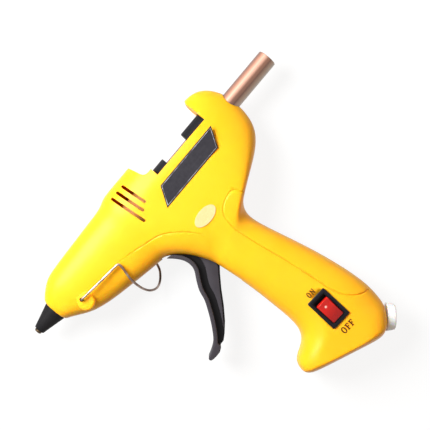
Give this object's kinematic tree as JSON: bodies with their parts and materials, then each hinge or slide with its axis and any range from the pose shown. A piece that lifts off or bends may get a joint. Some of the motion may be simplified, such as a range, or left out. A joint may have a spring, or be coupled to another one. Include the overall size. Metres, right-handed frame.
{
  "type": "hot glue gun",
  "caption": "Hand-held hot glue gun with a moulded two-part body, black nozzle cone, trigger-fed glue stick, rocker switch in the handle and a bent wire stand.",
  "frame": {"origin": "On the flat right side that the gun lies on, 110.5 mm behind the nozzle tip and 12 mm below the barrel axis", "axes": "+X along the barrel from the nozzle to the rear, +Y from the handle up to the barrel, +Z out of the right side to the left side"},
  "size_m": [0.2005, 0.1726, 0.0395],
  "materials": {
    "yellow_shell": "satin moulded",
    "brass": "turned",
    "black_rubber": "matt",
    "aluminium": "cast",
    "ceramic": "matt",
    "steel": "plain",
    "silicone": "matt",
    "black_plastic": "satin",
    "white_plastic": "satin",
    "lead_cover": "satin",
    "label": "satin film",
    "sticker": "satin",
    "glue": "pearl",
    "red_plastic": "translucent"
  },
  "bodies": {
    "housing": {"left_shell": "yellow_shell", "right_shell": "yellow_shell", "nozzle": "brass", "nozzle_boot": "black_rubber", "melt_chamber": "aluminium", "ptc_heater": "ceramic", "heater_clamp": "steel", "entry_sleeve": "silicone", "sleeve_clip": "steel", "guide_collar": "black_plastic", "trigger_pin": "steel", "return_spring": "steel", "switch_body": "black_plastic", "switch_terminal_1": "brass", "switch_terminal_2": "brass", "switch_terminal_3": "brass", "cord_gland": "white_plastic", "cord_clamp": "white_plastic", "clamp_screw_1": "steel", "clamp_screw_2": "steel", "shell_screw_1": "steel", "shell_screw_2": "steel", "shell_screw_3": "steel", "shell_screw_4": "steel", "shell_screw_5": "steel", "shell_screw_6": "steel", "shell_screw_7": "steel", "heater_lead": "lead_cover", "neutral_lead": "lead_cover", "live_lead": "lead_cover", "rating_label": "label", "quality_sticker": "sticker"},
    "trigger": {"trigger": "black_plastic", "link_pin": "steel"},
    "drive_link": {"drive_link": "white_plastic"},
    "feed_carriage": {"feed_carriage": "black_plastic", "lever_pin": "steel"},
    "grip_lever": {"grip_lever": "steel", "tail_pin": "steel"},
    "glue_stick": {"glue_stick": "glue"},
    "wire_stand": {"wire_stand": "steel"},
    "switch_rocker": {"switch_rocker": "red_plastic"}
  },
  "joints": [
    {"name": "trigger_pull", "type": "hinge", "parent": "housing", "child": "trigger", "pos_m": [-0.01955, -0.02115, 0.0175], "axis": [0, 0, 1], "range_deg": [0, 24], "stiffness_Nm_per_rad": 0.6, "deforming": ["return_spring"]},
    {"name": "link_swing", "type": "hinge", "parent": "trigger", "child": "drive_link", "pos_m": [-0.01518, -0.00061, 0.0175], "axis": [0, 0, 1], "range_deg": [-24.5, 0.5]},
    {"name": "carriage_feed", "type": "slide", "parent": "housing", "child": "feed_carriage", "axis": [-1, 0, 0], "range_m": [0, 0.00875]},
    {"name": "lever_bite", "type": "hinge", "parent": "feed_carriage", "child": "grip_lever", "pos_m": [0.03943, 0.0024, 0.0175], "axis": [0, 0, 1], "range_deg": [-3.1, 0.1]},
    {"name": "stick_load", "type": "slide", "parent": "feed_carriage", "child": "glue_stick", "axis": [1, 0, 0], "range_m": [0, 0.12]},
    {"name": "stand_swing", "type": "hinge", "parent": "housing", "child": "wire_stand", "pos_m": [-0.079, 0.00405, 0.0175], "axis": [0, 0, 1], "range_deg": [-80, 0]},
    {"name": "switch_rock", "type": "hinge", "parent": "housing", "child": "switch_rocker", "pos_m": [0.0043, -0.102, 0.0331], "axis": [0.9986, -0.0523, 0], "range_deg": [-24, 0]}
  ],
  "couplings": [
    {"joint": "link_swing", "follows": "trigger_pull", "ratio": -1},
    {"joint": "carriage_feed", "follows": "trigger_pull", "m_per_rad": 0.020847},
    {"joint": "lever_bite", "follows": "trigger_pull", "ratio": -0.125}
  ]
}
